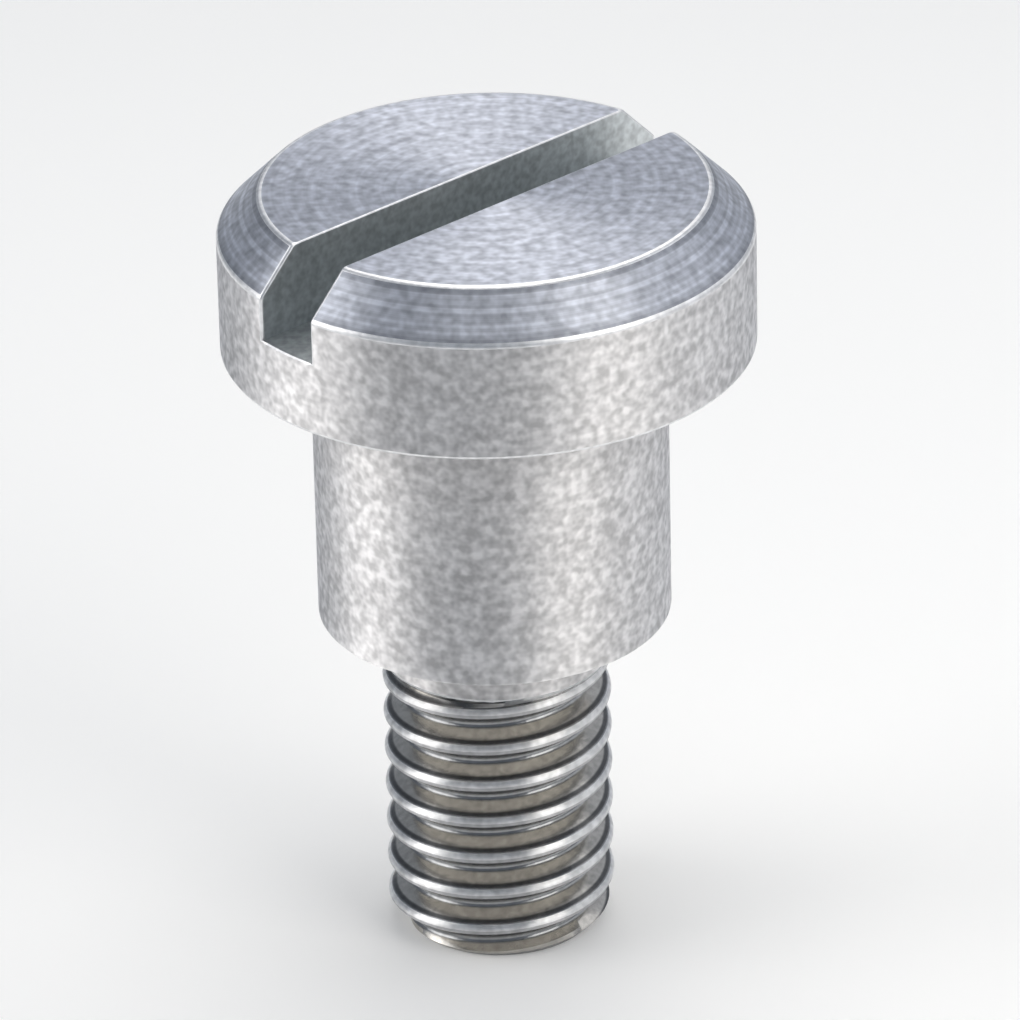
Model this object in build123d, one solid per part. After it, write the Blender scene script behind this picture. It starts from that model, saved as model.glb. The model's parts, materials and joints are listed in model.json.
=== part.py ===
from build123d import *
from math import ceil, radians, tan
import os

# Slotted shoulder bolt, one piece: a turned blank, a thread cut on its stud, a slot milled in its head.
# Millimetres, +Z up. The origin is the middle of the thread's tip face and the head is at the top.
# Seen from the front, -Y, the driver slot runs from front left to back right.

# ---------------------------------------------------------------- driving sizes
HEAD_D = 9.0            # round flat head
HEAD_H = 2.8            # head thickness
HEAD_CHAMFER = 0.73     # 45 degree chamfer round the top of the head
SHOULDER_D = 6.0        # the journal that a lever or wheel turns on
SHOULDER_L = 5.0        # grip length, from under the head to the end face
THREAD_D = 3.9          # over the crests: an M4 thread at the small end of its tolerance
THREAD_L = 6.0          # stud, from the shoulder's end face to the tip
PITCH = 0.7             # M4 coarse
PLAIN_BAND = 0.87       # stud left unthreaded next to the shoulder
START_DEG = 105.4       # where round the tip face the groove's centre line comes out
SLOT_W = 1.2            # driver slot
SLOT_DEPTH = 1.5
SLOT_DEG = 42.0         # the slot's direction, anticlockwise from +X
EDGE_BREAK = 0.08       # deburring chamfer on the turned outside corners
CORNER_R = 0.12         # tool-nose radius left in the turned inside corners

# ---------------------------------------------------------------- sizes that follow
head_r = HEAD_D / 2
shoulder_r = SHOULDER_D / 2
crest_r = THREAD_D / 2
thread_depth = 0.543 * PITCH        # crest to root of a 60 degree thread with flat crests
root_r = crest_r - thread_depth
root_flat = 0.166 * PITCH
lead_in = 0.9 * thread_depth        # 45 degree chamfer at the tip, ending just outside the root
under_head_z = THREAD_L + SHOULDER_L
top_z = under_head_z + HEAD_H
run_out_z = THREAD_L - PLAIN_BAND    # where the thread comes back out to the stud's surface
clear = 0.12 * PITCH                # how far the cutting tools reach past the metal; less than would join two turns


def blank():
    """The turned blank: a half section from the tip to the top of the head, spun round Z."""
    with BuildPart() as turned:
        with BuildSketch(Plane.XZ):
            with BuildLine():
                Polyline(
                    (0, 0),
                    (crest_r - lead_in, 0),
                    (crest_r, lead_in),
                    (crest_r, THREAD_L - CORNER_R),
                )
                RadiusArc(
                    (crest_r, THREAD_L - CORNER_R),
                    (crest_r + CORNER_R, THREAD_L),
                    CORNER_R,
                )
                Polyline(
                    (crest_r + CORNER_R, THREAD_L),
                    (shoulder_r - EDGE_BREAK, THREAD_L),
                    (shoulder_r, THREAD_L + EDGE_BREAK),
                    (shoulder_r, under_head_z - CORNER_R),
                )
                RadiusArc(
                    (shoulder_r, under_head_z - CORNER_R),
                    (shoulder_r + CORNER_R, under_head_z),
                    CORNER_R,
                )
                Polyline(
                    (shoulder_r + CORNER_R, under_head_z),
                    (head_r - EDGE_BREAK, under_head_z),
                    (head_r, under_head_z + EDGE_BREAK),
                    (head_r, top_z - HEAD_CHAMFER),
                    (head_r - HEAD_CHAMFER, top_z),
                    (0, top_z),
                    (0, 0),
                )
            make_face()
        revolve(axis=Axis.Z)
    return turned.part


def groove_edges(low_z):
    """The four corner lines of one turn of the thread groove, as right-hand helices starting at low_z."""
    reach = thread_depth + clear
    half_root = root_flat / 2
    half_mouth = half_root + reach * tan(radians(30))
    corners = (
        (root_r, -half_root),
        (root_r, half_root),
        (root_r + reach, half_mouth),
        (root_r + reach, -half_mouth),
    )
    turn = Rot(0, 0, START_DEG + 360 * low_z / PITCH)
    edges = []
    for radius, offset in corners:
        helix = Edge.make_helix(PITCH, PITCH, radius).edge()
        edges.append(Pos(0, 0, low_z + offset) * turn * helix)
    return edges


def groove():
    """The flat-bottomed V groove of the thread, wound from below the tip to above the run-out, a turn at a time."""
    below = 2
    turns = ceil(run_out_z / PITCH) + below + 1
    lengths = [groove_edges((i - below) * PITCH) for i in range(turns)]
    faces = []
    for edges in lengths:
        for a, b in zip(edges, edges[1:] + edges[:1]):
            faces.append(Face.make_surface_from_curves(a, b))
    for edges, end in ((lengths[0], 0), (lengths[-1], 1)):
        faces.append(Face(Wire.make_polygon([edge @ end for edge in edges], close=True)))
    return Solid(Shell(faces))


def run_out():
    """Where the threading die's tapered mouth leaves the stud uncut: a 45 degree cone under the plain band, and all above it."""
    outer = crest_r + 2 * clear
    high_z = run_out_z + 4 * PITCH
    with BuildPart() as uncut:
        with BuildSketch(Plane.XZ):
            with BuildLine():
                Polyline(
                    (0, run_out_z - crest_r),
                    (outer, run_out_z + outer - crest_r),
                    (outer, high_z),
                    (0, high_z),
                    close=True,
                )
            make_face()
        revolve(axis=Axis.Z)
    return uncut.part


def slot_tool():
    """The slotting saw's path: straight across the head, from above the top down to the slot's floor."""
    across = HEAD_D + 2 * clear
    cut = Box(across, SLOT_W, SLOT_DEPTH + clear, align=(Align.CENTER, Align.CENTER, Align.MIN))
    return Pos(0, 0, top_z - SLOT_DEPTH) * Rot(0, 0, SLOT_DEG) * cut


thread_tool = groove() - run_out()
bolt = blank() - thread_tool - slot_tool()

os.makedirs("parts", exist_ok=True)
export_step(bolt, "parts/shoulder_bolt.step")
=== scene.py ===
"""A slotted shoulder bolt, dressed: turned head and shoulder, milled driver slot, threaded stud.

Lengths inside the classes are in millimetres and leave them in metres. +Z is up the bolt's axis and
the thread's tip stands on the floor at the origin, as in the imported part.
"""

from __future__ import annotations

import json
import logging
import math
from dataclasses import dataclass, field, replace
from enum import Enum

import bpy
import numpy as np
from mathutils import Matrix, Vector

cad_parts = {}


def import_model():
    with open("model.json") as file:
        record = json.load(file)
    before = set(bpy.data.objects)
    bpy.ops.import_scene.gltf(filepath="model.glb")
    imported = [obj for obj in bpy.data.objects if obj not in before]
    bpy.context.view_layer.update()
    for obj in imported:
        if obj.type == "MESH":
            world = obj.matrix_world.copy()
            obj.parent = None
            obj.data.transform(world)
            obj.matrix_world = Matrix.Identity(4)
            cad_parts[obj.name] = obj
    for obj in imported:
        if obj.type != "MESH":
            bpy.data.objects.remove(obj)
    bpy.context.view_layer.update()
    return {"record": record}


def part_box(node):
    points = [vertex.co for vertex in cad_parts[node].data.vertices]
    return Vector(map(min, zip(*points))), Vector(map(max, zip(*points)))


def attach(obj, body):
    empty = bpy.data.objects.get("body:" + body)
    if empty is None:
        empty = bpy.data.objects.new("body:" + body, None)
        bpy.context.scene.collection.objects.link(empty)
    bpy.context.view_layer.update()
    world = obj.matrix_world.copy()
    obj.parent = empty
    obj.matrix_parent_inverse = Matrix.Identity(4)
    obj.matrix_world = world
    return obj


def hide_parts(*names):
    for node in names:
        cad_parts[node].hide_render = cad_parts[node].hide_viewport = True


LOG = logging.getLogger("shoulder_bolt")
NODE = "shoulder_bolt"
MM = 0.001
TINY = 1e-9
WELD_STEPS = 2e4  # to the millimetre; points that round to the same step are one
SHARP_FROM = 32.0  # degrees; a corner that turns more is shaded as an edge
FLANK = math.radians(30)  # the lean of the thread's flanks
NOISE_SPAN = (0.3, 0.7)  # the part of its range where nearly all of a noise lies
CLOUD_MM = 1.3
CLOUD_SHARE = 0.08  # how far clouds change the roughness

Colour = tuple[float, float, float]


class Finish(Enum):
    """The ways in which the bolt's surface was finished, in the order of its material slots.

    TURNED is the head's side, the shoulder and the stud's plain parts, FACED the head's top and RINGED
    its chamfer, both painted darker and bluer than the side: painted shade with a bluish tint, and the
    chamfer has painted shade lines along its edges. MILLED and SLOT_FLOOR are the driver slot, painted
    darker as shade in the slot, the floor most. THREADED is the groove, with painted shade in its root
    and just below the crest, and CREST and CREST_UNDER the upper and lower half of the thread's crest,
    the upper half and a strip of flank above it painted bright as a highlight and the lower half painted
    darker as shade. RUBBED is each broken edge.
    """

    TURNED = 0
    FACED = 1
    RINGED = 2
    MILLED = 3
    SLOT_FLOOR = 4
    THREADED = 5
    CREST = 6
    RUBBED = 7
    CREST_UNDER = 8


# ------------------------------------------------------------------------------- surfaces


@dataclass
class Patch:
    """One piece of surface: corner points, four-cornered faces and the finish that they take."""

    points: np.ndarray
    faces: np.ndarray
    finish: Finish


def grid_patch(grid: np.ndarray, finish: Finish, closed: bool = False, flip: bool = False) -> Patch:
    """Makes a patch from a grid of points, joining each point to its neighbours in both directions.

    Args:
        grid: Points in an array of rows by columns by 3.
        finish: The finish of the faces.
        closed: Whether the last column joins the first.
        flip: Whether the faces point the other way.

    Returns:
        The patch, whose faces point to the left of the row direction as seen along the columns.
    """
    rows, cols = grid.shape[:2]
    index = np.arange(rows * cols).reshape(rows, cols)
    if closed:
        index = np.concatenate([index, index[:, :1]], axis=1)
    quads = np.stack([index[:-1, :-1], index[:-1, 1:], index[1:, 1:], index[1:, :-1]], axis=-1)
    quads = quads.reshape(-1, 4)
    return Patch(grid.reshape(-1, 3), quads[:, ::-1] if flip else quads, finish)


def strips(grid: np.ndarray, kinds: np.ndarray, closed: bool = False) -> list[Patch]:
    """Cuts a grid between rows wherever the finish changes.

    Args:
        grid: Points in an array of rows by columns by 3.
        kinds: The number of the finish between each row and the next.
        closed: Whether the last column joins the first.

    Returns:
        One patch for each run of rows with the same finish.
    """
    cuts = np.flatnonzero(np.diff(kinds)) + 1
    starts = np.concatenate([[0], cuts])
    ends = np.concatenate([cuts, [len(kinds)]])
    return [grid_patch(grid[a : b + 1], Finish(int(kinds[a])), closed) for a, b in zip(starts, ends)]


def kinds_of(section: np.ndarray, flats: dict[float, Finish]) -> np.ndarray:
    """Finds the finish of each step of a half section by its direction.

    Steps within half a degree of a flat take its finish, and the others are rubbed edges.

    Args:
        section: Rows of (radius, height).
        flats: The finish for each direction, in degrees from straight outwards.

    Returns:
        The number of the finish for each step.
    """
    step = np.diff(section, axis=0)
    angle = np.degrees(np.arctan2(step[:, 1], step[:, 0]))
    kinds = np.full(len(step), Finish.RUBBED.value)
    for flat, finish in flats.items():
        kinds[np.abs(angle - flat) < 0.5] = finish.value
    return kinds


def weld(patches: list[Patch]) -> tuple[np.ndarray, np.ndarray, np.ndarray]:
    """Joins patches into one skin, in which points that coincide are one.

    A face with two corners in one place becomes a triangle, and one with fewer than three goes.

    Args:
        patches: The pieces of surface, in millimetres.

    Returns:
        The points, the faces with -1 as the fourth corner of a triangle, and each face's finish.
    """
    points = np.concatenate([p.points for p in patches])
    starts = np.cumsum([0] + [len(p.points) for p in patches[:-1]])
    faces = np.concatenate([p.faces + s for p, s in zip(patches, starts)])
    finish = np.concatenate([np.full(len(p.faces), p.finish.value) for p in patches])
    keys = np.round(points * WELD_STEPS).astype(np.int64)
    _, first, back = np.unique(keys, axis=0, return_index=True, return_inverse=True)
    faces = back.reshape(-1)[faces]
    same = faces == np.roll(faces, -1, axis=1)
    kept = same.sum(axis=1) <= 1
    faces, same, finish = faces[kept], same[kept], finish[kept]
    shift = np.where(same.any(axis=1), same.argmax(axis=1), 3)
    order = (shift[:, None] + 1 + np.arange(4)) % 4
    faces = np.take_along_axis(faces, order, axis=1)
    faces[same.any(axis=1), 3] = -1
    return points[first], faces, finish


def along(angles: np.ndarray) -> np.ndarray:
    """Steps of length 1 in a plane: the cosine and the sine of each angle."""
    return np.stack([np.cos(angles), np.sin(angles)], axis=-1)


def rounded(corners: np.ndarray, radii: np.ndarray, steps: int = 4) -> np.ndarray:
    """Rounds the inside corners of a broken line in a half section.

    An arc touches both sides of its corner at the radius over the tangent of half the angle between
    them. A guard point 0.6 of the radius further along each side holds that side's shading straight.

    Args:
        corners: The line's corners as rows of (radius, height).
        radii: The arc radius at each corner, 0 to leave it as it is.
        steps: The number of chords in each arc.

    Returns:
        The rounded line as rows of (radius, height).
    """
    out = [corners[:1]]
    for before, at, after, radius in zip(corners[:-2], corners[1:-1], corners[2:], radii[1:-1]):
        if radius == 0:
            out.append(at[None])
            continue
        back = (before - at) / np.linalg.norm(before - at)
        on = (after - at) / np.linalg.norm(after - at)
        half = math.acos(float(np.clip(back @ on, -1, 1))) / 2
        reach = radius / math.tan(half)
        centre = at + (back + on) / np.linalg.norm(back + on) * radius / math.sin(half)
        first = math.atan2(*(at + back * reach - centre)[::-1])
        last = math.atan2(*(at + on * reach - centre)[::-1])
        turn = (last - first + math.pi) % (2 * math.pi) - math.pi
        angles = first + turn * np.linspace(0, 1, steps + 1)
        guard = 0.6 * radius + reach
        out += [(at + back * guard)[None], centre + radius * along(angles), (at + on * guard)[None]]
    out.append(corners[-1:])
    return np.concatenate(out)


def ring(radius: np.ndarray | float, angle: np.ndarray, height: np.ndarray | float) -> np.ndarray:
    """Points round the axis: x is the radius times the angle's cosine, y times its sine, z the height.

    Args:
        radius: Distances from the axis.
        angle: Angles round it, in radians.
        height: Heights above the tip.

    Returns:
        An array of points of the shape that the three give together.
    """
    x, y = radius * np.cos(angle), radius * np.sin(angle)
    return np.stack([x, y, np.broadcast_to(height, x.shape)], axis=-1)


def spun(profile: np.ndarray, angles: np.ndarray) -> np.ndarray:
    """Spins a half section round the axis.

    Args:
        profile: Rows of (radius, height).
        angles: The columns' angles, in radians.

    Returns:
        A grid of points, one row for each row of the section.
    """
    radius, height = profile[:, :1], profile[:, 1:]
    return ring(radius, angles, height)


def soft_min(one: np.ndarray, other: np.ndarray | float, blend: float) -> np.ndarray:
    """The lesser of two fields, their crossing rounded.

    It is half their sum less half the root of their difference squared plus the blend squared.

    Args:
        one: A field.
        other: Another field of the same shape, or a number.
        blend: The width over which they blend, in their own units.

    Returns:
        The rounded lesser.
    """
    return 0.5 * (one + other - np.sqrt((one - other) ** 2 + blend * blend))


def soft_max(one: np.ndarray, other: np.ndarray | float, blend: float) -> np.ndarray:
    """The greater of two fields, their crossing rounded in the same way."""
    return -soft_min(-one, -other, blend)


# ------------------------------------------------------------------------------- the bolt


@dataclass(frozen=True)
class Columns:
    """The angles round the axis at which every ring of the bolt has a point.

    They are close and even, and four of them fall on the corners where the slot leaves the head.
    """

    slot_angle: float
    mouth: float
    lobe_steps: int = 108
    mouth_steps: int = 12

    def angles(self) -> np.ndarray:
        """All the angles in order, from the first corner of the slot's near end.

        Returns:
            Angles in radians, one for each column.
        """
        lobe = np.linspace(self.mouth, math.pi - self.mouth, self.lobe_steps + 1)[:-1]
        gap = np.linspace(math.pi - self.mouth, math.pi + self.mouth, self.mouth_steps + 1)[:-1]
        half = np.concatenate([lobe, gap])
        return np.concatenate([half, half + math.pi]) + self.slot_angle

    def in_mouth(self) -> np.ndarray:
        """Which angles lie strictly inside the slot's two open ends."""
        half = np.arange(self.lobe_steps + self.mouth_steps) > self.lobe_steps
        return np.concatenate([half, half])


@dataclass
class Stud:
    """The threaded stud: a 60 degree right-hand thread between a lead-in chamfer and a run-out cone.

    The surface is a radius worked out at every angle and height. The rows of its grid climb with the
    thread, so the crest and the root each have rows of their own. The sizes whose names end in share
    are shares of the pitch, except chamfer_share, which is one of the thread's depth.
    """

    crest_r: float
    length: float
    threaded: float
    pitch: float = 0.7
    start_deg: float = 105.4
    depth_share: float = 0.543
    root_share: float = 0.166
    chamfer_share: float = 0.9
    crest_share: float = 0.207
    crest_round: float = 0.07
    # The strip of flank above the crest, as a share of the pitch, that takes the crest's painted highlight.
    painted_highlight_share: float = 0.04
    edge: float = 0.016
    run_out_spare: float = 0.03
    rows_in_pitch: int = 28
    tip_rings: tuple[float, ...] = (0.0, 0.35, 0.7, 0.93, 0.985, 1.0)

    def depth(self) -> float:
        """How far the groove's flat bottom would lie below the crests."""
        return self.depth_share * self.pitch

    def turns_round(self, angle: np.ndarray) -> np.ndarray:
        """How many turns an angle lies on from where the groove's centre line leaves the tip face."""
        return (angle - math.radians(self.start_deg)) / (2 * math.pi)

    def radius(self, angle: np.ndarray, z: np.ndarray) -> np.ndarray:
        """The stud's radius at an angle and a height.

        The distance from the groove's centre line is the height less a pitch a turn, wrapped to half a
        pitch either way. A flank's radius is that distance over the tangent of 30 degrees, up from a
        root that is the arc touching both flanks, and the flanks are cut off at the crest. A 45 degree
        cone takes off the tip, and another fills the groove where the threading stopped.

        Args:
            angle: Angles round the axis, in radians.
            z: Heights above the tip, in millimetres.

        Returns:
            Radii in millimetres.
        """
        root_r = self.crest_r - self.depth()
        off = np.abs((z / self.pitch - self.turns_round(angle) + 0.5) % 1.0 - 0.5) * self.pitch
        slope = math.tan(FLANK)
        ball = 0.5 * self.root_share * self.pitch / slope
        reach = ball * math.cos(FLANK)
        arc = root_r + ball - np.sqrt(ball**2 - np.minimum(off, reach) ** 2)
        groove = np.where(off < reach, arc, root_r + off / slope - ball)
        spare = 0.5 * self.crest_share * self.pitch / slope
        lift = self.crest_round**2 / (4 * spare)
        groove = soft_min(groove, self.crest_r + lift, self.crest_round)
        run_out = self.crest_r - (self.threaded - z)
        lead_in = self.crest_r - self.chamfer_share * self.depth() + z
        cut = soft_min(soft_max(groove, run_out, self.edge), lead_in, self.edge)
        return np.minimum(cut, self.crest_r)

    def rows(self) -> np.ndarray:
        """The rows' places within a pitch, from 0 at the groove's centre to 1 at the next one.

        Of the rows on each side, 43 % cross the root, 14 % the flank, 30 % the crest's corner and 13 %
        the crest.

        Returns:
            The places in rising order, less the last, which is the next pitch's first.
        """
        crest = self.root_share / 2 + self.depth_share * math.tan(FLANK)
        shares = [0.0, 0.43, 0.57, 0.87, 1.0]
        places = [0.0, 1.55 * self.root_share / 2, crest - 0.055, crest + 0.045, 0.5]
        side = np.interp(np.linspace(0, 1, self.rows_in_pitch // 2 + 1), shares, places)
        return np.concatenate([side[:-1], 1 - side[:0:-1]])

    def row_finishes(self) -> np.ndarray:
        """The number of the finish between each row of a pitch and the next.

        The crest's upper half takes a little of the flank above it, so that its painted highlight reaches
        onto that strip, and the lower half takes the crest's painted shade.

        Returns:
            One number for each row.
        """
        above = (self.rows() + np.append(self.rows()[1:], 1.0)) / 2 - 0.5
        half = self.crest_share / 2
        kinds = np.full(len(above), Finish.THREADED.value)
        kinds[(above > 0) & (above < half + self.painted_highlight_share)] = Finish.CREST.value
        kinds[(above < 0) & (above > -half)] = Finish.CREST_UNDER.value
        return kinds

    def patches(self, angles: np.ndarray) -> list[Patch]:
        """The tip's face and the thread above it.

        Each column's rows are a pitch a turn higher than the first column's, and are held between the
        tip and the top of the run-out. The last column meets the first one pitch further up.

        Args:
            angles: The columns' angles, in radians.

        Returns:
            The patches, from the tip up.
        """
        top = self.threaded + self.run_out_spare
        turns = math.ceil(top / self.pitch) + 3
        places = (np.arange(-2, turns - 1)[:, None] + self.rows()[None]).reshape(-1, 1)
        climb = self.turns_round(angles)
        climb = climb - np.floor(climb[0])
        z = np.clip((places + climb) * self.pitch, 0.0, top)
        radius = self.radius(np.broadcast_to(angles, z.shape), z)
        wall = ring(np.where(z >= top, self.crest_r, radius), angles, z)
        pitch = self.rows_in_pitch
        joined = np.concatenate([wall[:-pitch], wall[pitch:, :1]], axis=1)
        rim = self.radius(angles, np.zeros_like(angles))
        shrink = np.array(self.tip_rings)[:, None]
        tip = grid_patch(ring(shrink * rim, angles, 0.0), Finish.TURNED, closed=True)
        return [tip] + strips(joined, np.resize(self.row_finishes(), len(joined) - 1))

    def band(self, angles: np.ndarray, fillet: float) -> list[Patch]:
        """The plain band between the thread and the shoulder's fillet, which is turned with the stud.

        Args:
            angles: The columns' angles, in radians.
            fillet: The radius of the fillet above the band.

        Returns:
            One patch.
        """
        z = np.linspace(self.threaded + self.run_out_spare, self.length - fillet, 4)
        section = np.stack([np.full_like(z, self.crest_r), z], axis=1)
        return [grid_patch(spun(section, angles), Finish.TURNED, closed=True)]


@dataclass
class Shoulder:
    """The plain journal, from the fillet above the stud to the fillet under the head."""

    radius: float
    stud_r: float
    low_z: float
    high_z: float
    fillet: float = 0.12
    fillet_rows: int = 5
    edge: float = 0.05

    def quarter_round(self, wall_r: float, face_z: float) -> np.ndarray:
        """The fillet of an inside corner, from the wall below to the face above it.

        Each point is the arc's centre plus the fillet's radius along a direction from 180 to 90 degrees.

        Args:
            wall_r: The wall's radius.
            face_z: The face's height.

        Returns:
            Rows of (radius, height).
        """
        centre = np.array([wall_r + self.fillet, face_z - self.fillet])
        return centre + self.fillet * along(np.radians(np.linspace(180, 90, self.fillet_rows)))

    def patches(self, angles: np.ndarray) -> list[Patch]:
        """The shoulder's end face, its wall and the fillets in its two inside corners.

        Args:
            angles: The columns' angles, in radians.

        Returns:
            One patch, spun from the half section.
        """
        lower = self.quarter_round(self.stud_r, self.low_z)
        upper = self.quarter_round(self.radius, self.high_z)
        outer = np.array([self.radius, self.low_z])
        broken = rounded(np.array([lower[-1], outer, upper[0]]), np.array([0, self.edge, 0]))
        section = np.concatenate([lower, broken[1:-1], upper])
        return [grid_patch(spun(section, angles), Finish.TURNED, closed=True)]


@dataclass
class Head:
    """The round head: turned below the slot's floor, with two D-shaped lobes and the slot above it."""

    radius: float
    low_z: float
    top_z: float
    floor_z: float
    neck_r: float
    chamfer: float = 0.73
    slot_w: float = 1.2
    slot_deg: float = 42.0
    lip: float = 0.06
    edge: float = 0.13
    slot_edge: float = 0.025
    guard: float = 0.03
    corner: float = 0.05
    corner_steps: int = 5
    chord_steps: int = 60
    top_rings: tuple[float, ...] = (1.0, 0.985, 0.9, 0.6, 0.3, 0.0)

    def mouth(self) -> float:
        """Half the angle of the slot's end, whose sine is (half width + corner) / (radius - corner)."""
        return math.asin((self.slot_w / 2 + self.corner) / (self.radius - self.corner))

    def lower(self, columns: Columns) -> list[Patch]:
        """The head's underside and its side up to the slot's floor.

        In the slot's mouths the top ring drops back by the broken edge of the floor.

        Args:
            columns: The angles of the rings, with those in the slot's mouths marked.

        Returns:
            The strips of the spun section, then the last one cut into its turned and rubbed stretches.
        """
        angles = columns.angles()
        corners = np.array(
            [
                [self.neck_r, self.low_z],
                [self.radius, self.low_z],
                [self.radius, self.floor_z - self.slot_edge],
            ]
        )
        section = rounded(corners, np.array([0, self.lip, 0]))
        guard = section[-1:] - [0, self.guard]
        section = np.concatenate([section[:-1], guard, section[-1:]])
        grid = spun(section, angles)
        rim = np.where(columns.in_mouth(), self.radius - self.slot_edge, self.radius)
        last = np.stack([grid[-1], ring(rim, angles, self.floor_z)])
        last = np.concatenate([last, last[:, :1]], axis=1)
        lobe, half = columns.lobe_steps, columns.lobe_steps + columns.mouth_steps
        kinds = kinds_of(section, {0.0: Finish.TURNED, 90.0: Finish.TURNED})
        return (
            strips(grid, kinds, closed=True)
            + [grid_patch(last[:, a : a + lobe + 1], Finish.TURNED) for a in (0, half)]
            + [grid_patch(last[:, a + lobe : a + half + 1], Finish.RUBBED) for a in (0, half)]
        )

    def levels(self) -> np.ndarray:
        """The heights of a lobe's outlines, with the arc's radius and the slot wall's offset at each.

        The radius follows the rounded side, chamfer and top edge. The wall stands at half the slot's
        width and leans back over the last of its height in a quarter round.

        Returns:
            Rows of (height, radius, offset).
        """
        corners = np.array(
            [
                [self.radius, self.floor_z],
                [self.radius, self.top_z - self.chamfer],
                [self.radius - self.chamfer, self.top_z],
                [0, self.top_z],
            ]
        )
        line = rounded(corners, np.array([0, self.edge, self.edge, 0]))[:-2]
        lean = self.slot_edge
        z = self.top_z - lean * (1 - np.sin(np.radians([0, 20, 40])))
        extra = np.stack([np.interp(z, line[:, 1], line[:, 0]), z], axis=1)
        line = np.concatenate([line, extra])
        line = line[np.argsort(line[:, 1], kind="stable")]
        over = np.clip(line[:, 1] - (self.top_z - lean), 0, lean)
        offset = self.slot_w / 2 + lean - np.sqrt(lean * lean - over * over)
        return np.stack([line[:, 1], line[:, 0], offset], axis=1)

    def outline(self, radius: float, offset: float, columns: Columns) -> np.ndarray:
        """A lobe's outline seen from above: an arc, a chord and two small rounded corners.

        A corner's circle touches the arc from inside and the chord, so its centre lies its own radius
        inside both. Each point of the line is a centre plus a radius along an outward direction.

        Args:
            radius: The arc's radius.
            offset: The chord's distance from the axis.
            columns: The angles of the rings, for the number of points on the arc.

        Returns:
            A closed ring of (x, y) in the slot's own directions.
        """
        height = offset + self.corner
        reach = math.sqrt((radius - self.corner) ** 2 - height**2)
        start = math.atan2(height, reach)
        arc = np.linspace(start, math.pi - start, columns.lobe_steps + 1)
        left = np.linspace(math.pi - start, 1.5 * math.pi, self.corner_steps + 1)[1:]
        right = np.linspace(-0.5 * math.pi, start, self.corner_steps + 1)[1:-1]
        chord = np.linspace(-reach, reach, self.chord_steps + 1)[1:]
        return np.concatenate(
            [
                radius * along(arc),
                np.array([-reach, height]) + self.corner * along(left),
                np.stack([chord, np.full_like(chord, offset)], axis=1),
                np.array([reach, height]) + self.corner * along(right),
            ]
        )

    def middle(self) -> np.ndarray:
        """The point in a lobe's flat top to which its rings are drawn in, halfway out from the slot."""
        return np.array([0.0, 0.42 * self.radius + 0.3 * self.slot_w, 0.0])

    def turned_to_slot(self, grid: np.ndarray, half_turns: int = 0) -> np.ndarray:
        """Turns points about the axis, from the slot's own directions to the bolt's.

        Args:
            grid: An array of points.
            half_turns: Half turns to add to the slot's angle, 1 for the lobe on its other side.

        Returns:
            The points times the matrix of the turn.
        """
        angle = math.radians(self.slot_deg) + half_turns * math.pi
        cos, sin = math.cos(angle), math.sin(angle)
        return grid @ np.array([[cos, sin, 0], [-sin, cos, 0], [0, 0, 1]])

    def lobe(self, columns: Columns, half_turns: int) -> list[Patch]:
        """One lobe's wall, and its flat top drawn in to a point by rings of the same shape.

        Each ring of the top is a share of the last outline plus the rest of the top's middle.

        Args:
            columns: The angles of the rings.
            half_turns: 0 for the lobe on the left of the slot, 1 for the other.

        Returns:
            The turned side and its chamfer, the milled slot wall, its rubbed corners and the faced top.
        """
        levels = self.levels()
        lines = [(self.outline(radius, offset, columns), z) for z, radius, offset in levels]
        rings = np.stack([np.insert(line, 2, z, axis=1) for line, z in lines])
        share = np.array(self.top_rings)[:, None, None]
        flat = rings[-1] * [1, 1, 0] * share + self.middle() * (1 - share)
        flat[..., 2] = self.top_z
        arc = columns.lobe_steps + 1
        side = rings[:, :arc]
        wall = np.concatenate([rings[:, arc - 1 :], rings[:, :1]], axis=1)
        leaning = levels[1:, 2] > self.slot_w / 2 + TINY
        side_kinds = kinds_of(levels[:, [1, 0]], {90.0: Finish.TURNED, 135.0: Finish.RINGED})
        wall_kinds = np.where(leaning, Finish.RUBBED.value, Finish.MILLED.value)
        near, far = self.corner_steps, wall.shape[1] - self.corner_steps - 1
        patches = (
            strips(side, side_kinds)
            + strips(wall[:, near : far + 1], wall_kinds)
            + [grid_patch(wall[:, : near + 1], Finish.RUBBED), grid_patch(wall[:, far:], Finish.RUBBED)]
            + [grid_patch(flat, Finish.FACED, closed=True)]
        )
        return [replace(p, points=self.turned_to_slot(p.points, half_turns)) for p in patches]

    def floor(self, columns: Columns) -> list[Patch]:
        """The slot's floor, ruled straight from wall to wall, with its two ends on the head's side.

        Args:
            columns: The angles of the rings, for the points across each mouth.

        Returns:
            One patch facing up.
        """
        outline = self.outline(self.radius, self.slot_w / 2, columns)
        edge = np.concatenate([outline[columns.lobe_steps :], outline[:1]])
        across = np.linspace(0, 1, columns.mouth_steps + 1)[None, :, None]
        grid = (edge * [1, -1])[:, None] * (1 - across) + edge[:, None] * across
        angles = np.linspace(-self.mouth(), self.mouth(), columns.mouth_steps + 1)
        inside = np.abs(angles) < self.mouth() - TINY
        rim = np.where(inside, self.radius - self.slot_edge, self.radius)
        end = rim[:, None] * along(angles)
        grid[-1], grid[0] = end, end * [-1, 1]
        grid = self.turned_to_slot(np.insert(grid, 2, self.floor_z, axis=2))
        return [grid_patch(grid, Finish.SLOT_FLOOR, flip=True)]

    def patches(self, columns: Columns) -> list[Patch]:
        """The whole head, from its underside up."""
        return self.lower(columns) + self.lobe(columns, 0) + self.lobe(columns, 1) + self.floor(columns)


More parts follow.
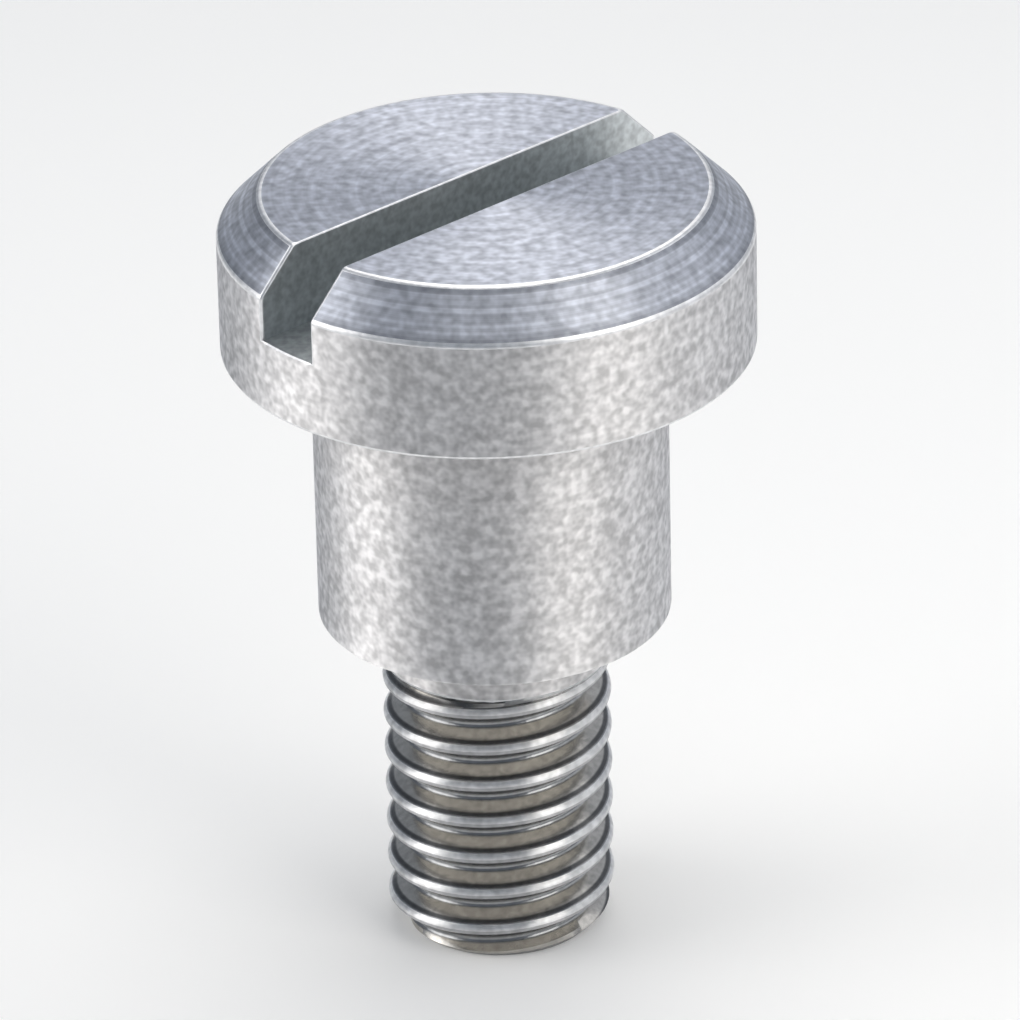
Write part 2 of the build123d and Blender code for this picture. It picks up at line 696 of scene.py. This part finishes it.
@dataclass
class Bolt:
    """The whole bolt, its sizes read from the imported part's box and mounts, as one closed skin."""

    low: Vector
    high: Vector
    mounts: dict[str, dict]
    stud: Stud = field(init=False)
    shoulder: Shoulder = field(init=False)
    head: Head = field(init=False)

    def __post_init__(self) -> None:
        """Sets the three stretches of the bolt on each other."""
        journal = self.mounts["shoulder_journal"]["dims"]["r_mm"]
        thread = self.mounts["thread"]["dims"]
        under = self.mounts["under_head"]["pos_m"][2] / MM
        end = self.mounts["shoulder_end"]["pos_m"][2] / MM
        self.stud = Stud(crest_r=thread["r_mm"], length=end, threaded=thread["length_mm"])
        self.shoulder = Shoulder(radius=journal, stud_r=thread["r_mm"], low_z=end, high_z=under)
        self.head = Head(
            radius=min(self.high.x, self.high.y, -self.low.x, -self.low.y) / MM,
            low_z=under,
            top_z=self.high.z / MM,
            floor_z=self.mounts["driver_slot"]["pos_m"][2] / MM,
            neck_r=journal + self.shoulder.fillet,
        )

    def patches(self) -> list[Patch]:
        """Every patch of the bolt, from the tip to the top.

        Returns:
            The patches of the stud, the shoulder and the head, all with the same columns.
        """
        columns = Columns(math.radians(self.head.slot_deg), self.head.mouth())
        angles = columns.angles()
        return (
            self.stud.patches(angles)
            + self.stud.band(angles, self.shoulder.fillet)
            + self.shoulder.patches(angles)
            + self.head.patches(columns)
        )

    def finishes(self) -> list[Steel]:
        """The steel that each finish shows.

        Returns:
            One for each member of Finish, in its order.
        """
        # Painted shade on the chamfer: painted darker and bluer than the turned side, with darker lines
        # along its lower edge and along the rim of the top face.
        chamfer = Tones(
            self.head.radius,
            (
                Band(0.0, 0.07, (0.36, 0.375, 0.415)),
                Band(0.11, 0.615, (0.50, 0.52, 0.575)),
                Band(0.65, 0.73, (0.33, 0.345, 0.385)),
            ),
        )
        # Painted shade in the groove by depth: a dark line just below the crest and a darker root, with a
        # brownish flank between them.
        groove = Tones(
            self.stud.crest_r,
            (
                Band(0.0, 0.06, (0.50, 0.51, 0.52), (0.45, 0.45, 0.45)),
                Band(0.085, 0.13, (0.12, 0.12, 0.12)),
                Band(0.16, 0.325, (0.53, 0.51, 0.475), (0.51, 0.49, 0.455)),
                Band(0.355, 0.38, (0.28, 0.285, 0.29)),
            ),
        )
        # Painted highlight: the crest's upper half and the strip of flank above it are painted bright.
        crest = Tones(
            self.stud.crest_r,
            (Band(0.0, 0.06, (0.82, 0.82, 0.82)), Band(0.085, 0.38, (0.3, 0.3, 0.3))),
        )
        # Painted shade: the crest's lower half, which faces down, is painted darker than the upper half.
        crest_under_painted_shade = Tones(
            self.stud.crest_r,
            (Band(0.0, 0.06, (0.5, 0.5, 0.51)), Band(0.085, 0.38, (0.2, 0.2, 0.2))),
        )
        die = Cutting(0.42, 0.97, 0.16, 0.16)
        return [
            Steel(
                "turned_steel",
                (0.80, 0.79, 0.79),
                Cutting(0.66, 0.87, 0.16, 0.21, relief_mm=0.0022, ring=0.03),
            ),
            # Painted shade: the head's top is the same steel as the side, painted darker and bluer.
            Steel(
                "faced_steel",
                (0.485, 0.505, 0.565),
                Cutting(0.5, 0.76, 0.2, 0.24, relief_mm=0.002, ring=0.09, ring_relief=0.25),
            ),
            Steel(
                "ringed_steel",
                chamfer,
                Cutting(0.5, 0.76, 0.17, 0.20, relief_mm=0.002, ring_mm=0.13, ring=0.15, ring_relief=0.35),
            ),
            # Painted shade in the slot: its walls are painted darker than the turned steel, and its floor
            # darker still.
            Steel("milled_steel", (0.61, 0.64, 0.65), Cutting(0.42, speckle=0.18)),
            Steel("slot_floor_steel", (0.36, 0.38, 0.39), Cutting(0.5, speckle=0.18)),
            Steel("thread_steel", groove, Cutting(0.22, speckle=0.12)),
            Steel("crest_steel", crest, die),
            Steel("rubbed_steel", (0.80, 0.80, 0.81), Cutting(0.36, speckle=0.12)),
            Steel("crest_under_steel", crest_under_painted_shade, die),
        ]

    def build(self, name: str) -> bpy.types.Object:
        """Puts the skin into a mesh and links it, smooth except over its sharp corners.

        Args:
            name: The object's name.

        Returns:
            The object, at the origin, in metres, with its finishes in its material slots.
        """
        points, faces, finish = weld(self.patches())
        loops = faces[faces >= 0]
        sizes = np.where(faces[:, 3] >= 0, 4, 3)
        starts = np.concatenate([[0], np.cumsum(sizes)[:-1]])
        mesh = bpy.data.meshes.new(name)
        mesh.vertices.add(len(points))
        mesh.vertices.foreach_set("co", (points * MM).ravel())
        mesh.loops.add(len(loops))
        mesh.loops.foreach_set("vertex_index", loops.astype(np.int32))
        mesh.polygons.add(len(sizes))
        mesh.polygons.foreach_set("loop_start", starts.astype(np.int32))
        mesh.polygons.foreach_set("material_index", finish.astype(np.int32))
        mesh.update(calc_edges=True)
        mesh.validate()
        mesh.shade_smooth()
        mesh.set_sharp_from_angle(angle=math.radians(SHARP_FROM))
        for steel in self.finishes():
            mesh.materials.append(steel.material())
        bolt = bpy.data.objects.new(name, mesh)
        bpy.context.scene.collection.objects.link(bolt)
        return bolt


# ------------------------------------------------------------------------------- finishes


@dataclass
class Mix:
    """A material being mixed: adds shader nodes and joins their sockets."""

    tree: bpy.types.NodeTree

    @classmethod
    def new(cls, name: str) -> tuple[bpy.types.Material, Mix]:
        """Makes an empty material.

        Args:
            name: The material's name.

        Returns:
            The material and the mix that fills it.
        """
        mat = bpy.data.materials.new(name)
        mat.use_nodes = True
        mat.node_tree.nodes.clear()
        return mat, cls(mat.node_tree)

    def node(self, kind: str, setup: dict | None = None, **inputs: object) -> bpy.types.Node:
        """Adds a node.

        Args:
            kind: The node's type name without its ShaderNode prefix.
            setup: Properties to set before the inputs, by name.
            **inputs: Input sockets by name, with _ for a space. A socket is linked and a value is set.

        Returns:
            The node.
        """
        node = self.tree.nodes.new("ShaderNode" + kind)
        for key, value in (setup or {}).items():
            setattr(node, key, value)
        for key, value in inputs.items():
            self.join(node.inputs[key.replace("_", " ")], value)
        return node

    def listed(self, kind: str, how: dict, *values: object) -> bpy.types.Node:
        """Adds a node whose inputs are given in their order.

        Args:
            kind: The node's type name without its ShaderNode prefix.
            how: Properties to set, by name.
            *values: A socket to link or a value to set for each input.

        Returns:
            The node.
        """
        node = self.node(kind, how)
        for into, value in zip(node.inputs, values):
            self.join(into, value)
        return node

    def join(self, into: bpy.types.NodeSocket, value: object) -> None:
        """Links a socket, or sets a plain value on it.

        Args:
            into: The input socket.
            value: An output socket or a value.
        """
        if isinstance(value, bpy.types.NodeSocket):
            self.tree.links.new(value, into)
        else:
            into.default_value = value

    def sum(self, how: str, *values: object) -> bpy.types.NodeSocket:
        """One step of arithmetic on numbers, named by how, such as MAXIMUM or MULTIPLY_ADD."""
        return self.listed("Math", {"operation": how}, *values).outputs[0]

    def vector(self, how: str, *values: object) -> bpy.types.NodeSocket:
        """One step of arithmetic on vectors, which gives a number for LENGTH and DOT_PRODUCT."""
        node = self.listed("VectorMath", {"operation": how}, *values)
        return node.outputs["Value" if how in ("LENGTH", "DOT_PRODUCT") else "Vector"]

    def spread(self, value: bpy.types.NodeSocket, *ends: float) -> bpy.types.NodeSocket:
        """Carries the range between the first two ends over to the last two, and holds it beyond."""
        return self.listed("MapRange", {}, value, *ends).outputs["Result"]

    def noise(self, size_mm: float, detail: float, **place: object) -> bpy.types.NodeSocket:
        """Adds cloudy noise.

        Args:
            size_mm: About how large its lumps are.
            detail: How many finer noises are laid on it.
            **place: Vector for noise over space, or W for noise over one length.

        Returns:
            The noise's socket.
        """
        setup = {"noise_dimensions": "1D"} if "W" in place else None
        node = self.node("TexNoise", setup, **place, Scale=1 / (size_mm * MM), Detail=detail)
        return node.outputs["Fac"]

    def varied(self, noise: bpy.types.NodeSocket, middle: float, share: float) -> bpy.types.NodeSocket:
        """A number that follows noise, from middle less a share of itself to middle plus that share."""
        return self.spread(noise, *NOISE_SPAN, middle * (1 - share), middle * (1 + share))

    def scaled(self, colour: object, factor: bpy.types.NodeSocket) -> bpy.types.NodeSocket:
        """Scales a colour, taken as a vector, by a number."""
        node = self.node("VectorMath", {"operation": "SCALE"}, Vector=colour, Scale=factor)
        return node.outputs["Vector"]


@dataclass(frozen=True)
class Band:
    """A stretch of depth in millimetres, and the tone at its start and, if another, at its end."""

    start: float
    end: float
    tone: Colour
    last: Colour | None = None

    def ends(self) -> tuple[tuple[float, Colour], ...]:
        """The depth and the tone of each end."""
        return (self.start, self.tone), (self.end, self.last or self.tone)


@dataclass(frozen=True)
class Tones:
    """Tones by depth below an outer radius, each band running evenly into the next."""

    outer_mm: float
    bands: tuple[Band, ...]

    def ramp(self, mix: Mix, section: bpy.types.NodeSocket) -> bpy.types.NodeSocket:
        """A ramp of colours over the outer radius less the distance from the axis.

        Args:
            mix: The material being mixed.
            section: Each point's place in the half section.

        Returns:
            The colour's socket.
        """
        radius = mix.node("SeparateXYZ", Vector=section).outputs["X"]
        deep = self.bands[-1].end
        depth = mix.spread(radius, (self.outer_mm - deep) * MM, self.outer_mm * MM, 1.0, 0.0)
        ramp = mix.node("ValToRGB", Fac=depth)
        tones = [end for band in self.bands for end in band.ends()]
        stops = ramp.color_ramp.elements
        while len(stops) < len(tones):
            stops.new(0.5)
        for stop, (below, colour) in zip(stops, tones):
            stop.position = below / deep
            stop.color = (*colour, 1)
        return ramp.outputs["Color"]


@dataclass(frozen=True)
class Cutting:
    """What a tool left on the steel: its roughness, speckles, relief and rings.

    drawn_out is how far the highlight is drawn out, square to the rings. speckle and ring are the
    shares by which each lightens and darkens the colour. relief_mm is the depth of the relief, and
    ring_relief the rings' part of it.
    """

    roughness: float
    drawn_out: float = 0.0
    speckle_mm: float = 0.13
    speckle: float = 0.2
    relief_mm: float = 0.003
    ring_mm: float = 0.16
    ring: float = 0.0
    ring_relief: float = 0.0


@dataclass(frozen=True)
class Steel:
    """Stainless steel as one kind of cutting left it.

    Speckles of cloudy noise lighten and darken it, and give it a fine relief. The tool leaves rings
    square to the axis, so the highlight is drawn out across them, along the half section. Several
    finishes also carry painted shade in their colour, and the crest a painted highlight.
    """

    name: str
    colour: Colour | Tones
    cut: Cutting

    def material(self) -> bpy.types.Material:
        """Builds the shader.

        Returns:
            A material whose patterns follow the object's own coordinates.
        """
        cut = self.cut
        mat, mix = Mix.new(self.name)
        place = mix.node("TexCoord").outputs["Object"]
        section = self.section(mix, place)
        speckle = mix.noise(cut.speckle_mm, 1.0, Vector=place)
        cloud = mix.noise(CLOUD_MM, 3.0, Vector=place)
        rings = self.rings(mix, section)
        shade = mix.sum("MULTIPLY", mix.varied(speckle, 1.0, cut.speckle), mix.varied(rings, 1.0, cut.ring))
        height = mix.sum("MULTIPLY_ADD", rings, cut.ring_relief, speckle)
        bump = mix.node("Bump", Strength=1.0, Distance=cut.relief_mm * MM, Height=height)
        steel = mix.node(
            "BsdfPrincipled",
            Base_Color=mix.scaled(self.tone(mix, section), shade),
            Metallic=1.0,
            Roughness=mix.varied(cloud, cut.roughness, CLOUD_SHARE),
            Anisotropic=cut.drawn_out,
            Normal=bump.outputs["Normal"],
        )
        if cut.drawn_out > 0:
            mix.join(steel.inputs["Tangent"], self.across_rings(mix, place))
        mix.node("OutputMaterial", Surface=steel.outputs["BSDF"])
        return mat

    def section(self, mix: Mix, place: bpy.types.NodeSocket) -> bpy.types.NodeSocket:
        """Each point's place in the half section: its distance from the axis, its height and 0.

        Args:
            mix: The material being mixed.
            place: Each point's place on the object.

        Returns:
            The vector's socket.
        """
        radius = mix.vector("LENGTH", mix.vector("MULTIPLY", place, (1, 1, 0)))
        height = mix.node("SeparateXYZ", Vector=place).outputs["Z"]
        return mix.node("CombineXYZ", X=radius, Y=height).outputs["Vector"]

    def rings(self, mix: Mix, section: bpy.types.NodeSocket) -> bpy.types.NodeSocket:
        """Tool marks: noise along height less radius, so that it crosses side, chamfer and top alike."""
        across = mix.vector("DOT_PRODUCT", section, (-1, 1, 0))
        return mix.noise(self.cut.ring_mm, 2.0, W=across)

    def tone(self, mix: Mix, section: bpy.types.NodeSocket) -> object:
        """The base colour, plain or by depth, with the painted shade and highlight that some finishes
        carry.
        """
        return self.colour.ramp(mix, section) if isinstance(self.colour, Tones) else self.colour

    def across_rings(self, mix: Mix, place: bpy.types.NodeSocket) -> bpy.types.NodeSocket:
        """The way along the half section: the surface's normal crossed with the way round the axis.

        Args:
            mix: The material being mixed.
            place: Each point's place on the object.

        Returns:
            The direction's socket.
        """
        round_axis = mix.vector("CROSS_PRODUCT", (0, 0, 1), place)
        facing = mix.node("NewGeometry").outputs["Normal"]
        return mix.vector("NORMALIZE", mix.vector("CROSS_PRODUCT", facing, round_axis))


# ------------------------------------------------------------------------------- the studio


@dataclass(frozen=True)
class Softbox:
    """A soft lamp: a glowing rectangle that faces the bolt, placed by bearing and height.

    The bearing is in degrees from the front, positive to the right, and the rise is in degrees above
    level. Sizes are in metres.
    """

    name: str
    bearing: float
    rise: float
    distance: float
    width: float
    height: float
    level: float
    tint: Colour

    def place(self, target: Vector) -> None:
        """Makes the lamp. Its power is its level as a surface brightness times pi times its area.

        Args:
            target: The point that it faces, in metres.
        """
        bearing, rise = math.radians(self.bearing), math.radians(self.rise)
        level = math.cos(rise)
        way = Vector((math.sin(bearing) * level, -math.cos(bearing) * level, math.sin(rise)))
        data = bpy.data.lights.new(self.name, "AREA")
        data.shape = "RECTANGLE"
        data.size = self.width
        data.size_y = self.height
        data.color = self.tint
        data.energy = self.level * math.pi * self.width * self.height
        lamp = bpy.data.objects.new(self.name, data)
        lamp.location = target + way * self.distance
        lamp.rotation_euler = way.to_track_quat("Z", "Y").to_euler()
        lamp.visible_camera = False
        bpy.context.scene.collection.objects.link(lamp)


PLAIN: Colour = (1.01, 1.0, 1.0)
WARM: Colour = (1.03, 1.0, 0.955)
COOL: Colour = (1.0, 1.0, 1.05)

# Each lamp's name, bearing, rise, distance, width, height, level and tint.
LAMPS = (
    Softbox("left_box", -88, 28, 0.065, 0.045, 0.055, 1.13, PLAIN),
    Softbox("right_box", 48, 30, 0.065, 0.036, 0.055, 2.30, WARM),
    Softbox("right_mid", 72, 20, 0.065, 0.030, 0.045, 0.38, WARM),
    Softbox("right_far", 100, 30, 0.065, 0.040, 0.055, 0.70, PLAIN),
    Softbox("left_wall", -80, 17, 0.30, 0.20, 0.20, 1.55, WARM),
    Softbox("back_right", 135, 20, 0.30, 0.20, 0.20, 0.23, COOL),
    Softbox("back_top", 170, 60, 0.065, 0.04, 0.04, 1.90, WARM),
    Softbox("back_left", -160, 62, 0.065, 0.03, 0.03, 0.24, PLAIN),
    Softbox("back", 180, 25, 0.20, 0.15, 0.10, 0.47, PLAIN),
    Softbox("ceiling", 0, 90, 0.30, 0.15, 0.15, 1.62, WARM),
)


@dataclass
class Studio:
    """Pale floor, soft lamps, plain world and the camera.

    Lengths are in metres, except the lens and the sensor, which are in millimetres.
    """

    target: Vector = field(default_factory=lambda: Vector((0.00029, 0.0, 0.007755)))
    elevation: float = 27.404
    roll: float = -1.311
    distance: float = 0.14868
    lens: float = 310.5
    sensor: float = 36.0
    nearest: float = 0.005
    furthest: float = 5.0
    floor_half: float = 0.6
    floor_colour: Colour = (0.905, 0.9, 0.885)
    floor_lift: float = 0.10
    room: Colour = (0.260, 0.286, 0.327)

    def paper(self) -> bpy.types.Material:
        """Pale paper, lifted a little towards white where it is seen or mirrored.

        Returns:
            The material.
        """
        mat, mix = Mix.new("pale_paper")
        sheet = mix.node("BsdfDiffuse", Color=(*self.floor_colour, 1))
        path = mix.node("LightPath").outputs
        seen = mix.sum("MAXIMUM", path["Is Camera Ray"], path["Is Glossy Ray"])
        seen = mix.sum("MAXIMUM", seen, path["Is Transmission Ray"])
        lift = mix.node("Emission", Strength=mix.sum("MULTIPLY", seen, self.floor_lift))
        both = mix.listed("AddShader", {}, sheet.outputs[0], lift.outputs[0])
        mix.node("OutputMaterial", Surface=both.outputs[0])
        return mat

    def floor(self) -> bpy.types.Object:
        """Lays a flat sheet of pale paper under the bolt.

        Returns:
            The floor.
        """
        half = self.floor_half
        corners = [(-half, -half, 0), (half, -half, 0), (half, half, 0), (-half, half, 0)]
        mesh = bpy.data.meshes.new("floor")
        mesh.from_pydata(corners, [], [(0, 1, 2, 3)])
        mesh.materials.append(self.paper())
        floor = bpy.data.objects.new("floor", mesh)
        bpy.context.scene.collection.objects.link(floor)
        return floor

    def world(self) -> None:
        """Fills the room with even light."""
        world = bpy.data.worlds.new("room")
        world.use_nodes = True
        sky = world.node_tree.nodes["Background"]
        sky.inputs["Color"].default_value = (*self.room, 1)
        sky.inputs["Strength"].default_value = 1.0
        bpy.context.scene.world = world

    def camera(self) -> None:
        """Stands the camera in front, looking down, with the bolt leaning a little to the left."""
        rise, lean = math.radians(self.elevation), math.radians(self.roll)
        back = Vector((0, -math.cos(rise), math.sin(rise)))
        side, up = Vector((1, 0, 0)), Vector((0, math.sin(rise), math.cos(rise)))
        right = side * math.cos(lean) + up * math.sin(lean)
        top = up * math.cos(lean) - side * math.sin(lean)
        turn = Matrix((right, top, back)).transposed().to_4x4()
        data = bpy.data.cameras.new("camera")
        data.sensor_width = self.sensor
        data.lens = self.lens
        data.clip_start = self.nearest
        data.clip_end = self.furthest
        cam = bpy.data.objects.new("camera", data)
        cam.matrix_world = Matrix.Translation(self.target + back * self.distance) @ turn
        bpy.context.scene.collection.objects.link(cam)
        bpy.context.scene.camera = cam

    def set_up(self) -> bpy.types.Object:
        """Builds the floor, the light and the camera.

        Returns:
            The floor.
        """
        floor = self.floor()
        self.world()
        for lamp in LAMPS:
            lamp.place(self.target)
        self.camera()
        bpy.context.scene.view_settings.view_transform = "Standard"
        return floor


def report(piece: bpy.types.Object) -> None:
    """Logs a piece's points and faces."""
    LOG.info("%s: %d points, %d faces", piece.name, len(piece.data.vertices), len(piece.data.polygons))


def main() -> None:
    """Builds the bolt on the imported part, dresses it and sets up the studio."""
    logging.basicConfig(level=logging.INFO, format="%(name)s %(message)s")
    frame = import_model()
    low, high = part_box(NODE)
    mounts = {m["name"]: m for m in frame["record"]["mounts"]}
    body = Bolt(Vector(low), Vector(high), mounts).build("bolt")
    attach(body, "root")
    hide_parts(NODE)
    report(body)
    report(Studio().set_up())


if __name__ == "__main__":
    main()
